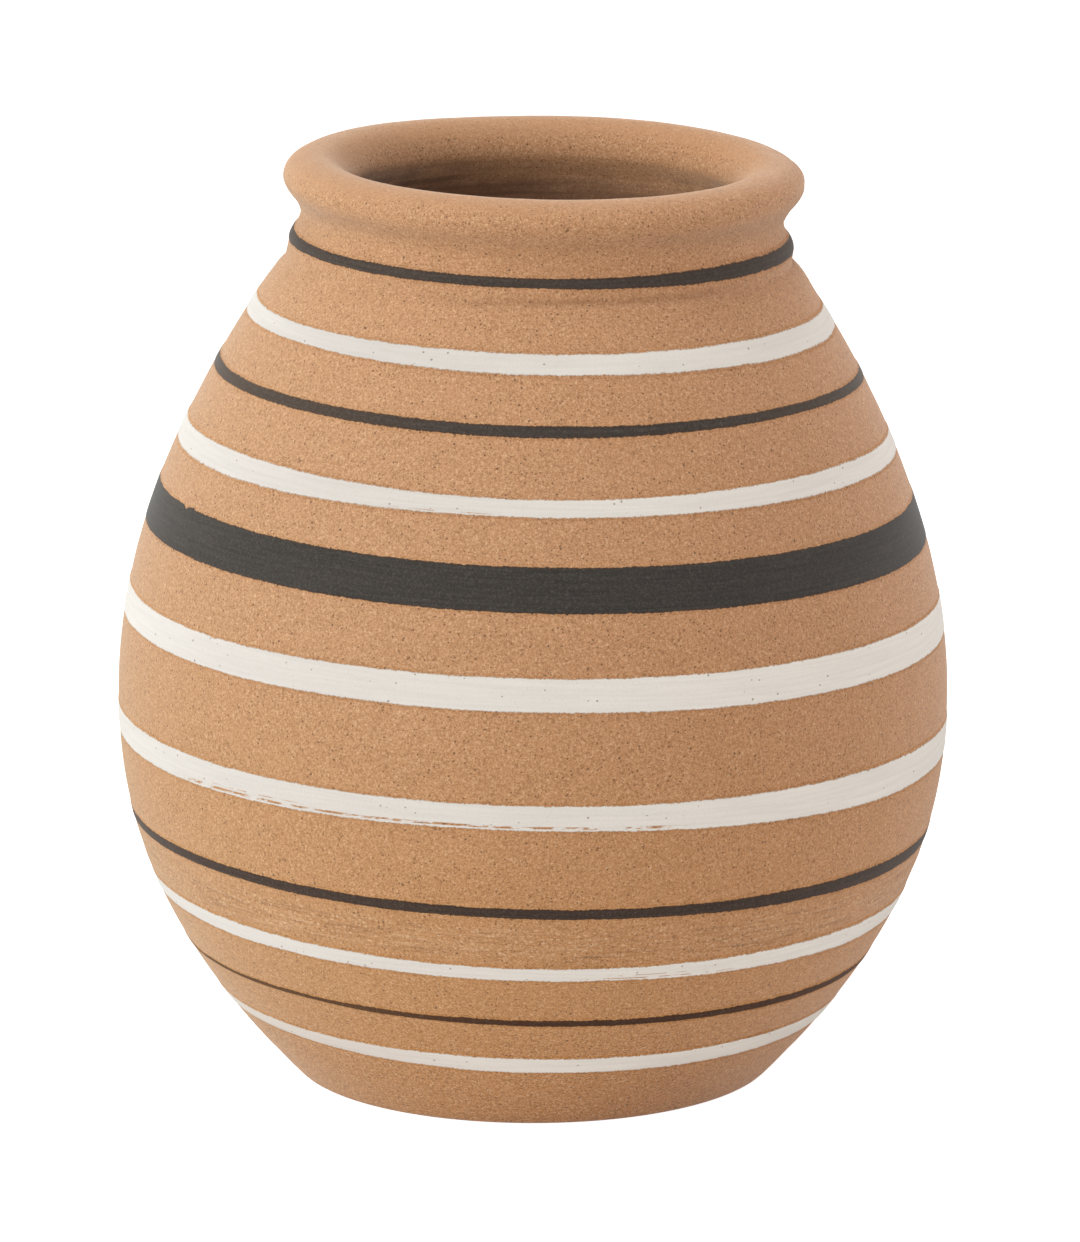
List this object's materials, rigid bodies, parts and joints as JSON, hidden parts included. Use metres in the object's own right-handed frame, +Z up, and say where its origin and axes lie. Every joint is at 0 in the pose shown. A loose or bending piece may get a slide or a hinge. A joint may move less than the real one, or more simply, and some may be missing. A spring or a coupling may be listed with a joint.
{
  "type": "terracotta jar",
  "caption": "Hand-thrown, egg-shaped terracotta jar with a flat foot, a drawn-in neck, a thick rolled lip and brushed bands of black and white slip.",
  "frame": {"origin": "middle of the flat foot, where the jar meets the surface it stands on", "axes": "+Z up along the axis of the jar; -Y towards the side that the picture shows, with +X to the right there"},
  "size_m": [0.2011, 0.2011, 0.2247],
  "materials": {
    "terracotta": "unglazed, sandy with fine light and dark specks",
    "black_slip": "matte brushed slip",
    "white_slip": "matte brushed slip"
  },
  "bodies": {
    "root": {"jar_body": "terracotta", "neck_collar": "terracotta", "black_band_1": "black_slip", "black_band_2": "black_slip", "black_band_3": "black_slip", "black_band_4": "black_slip", "black_band_5": "black_slip", "white_band_1": "white_slip", "white_band_2": "white_slip", "white_band_3": "white_slip", "white_band_4": "white_slip", "white_band_5": "white_slip", "white_band_6": "white_slip"}
  },
  "joints": []
}
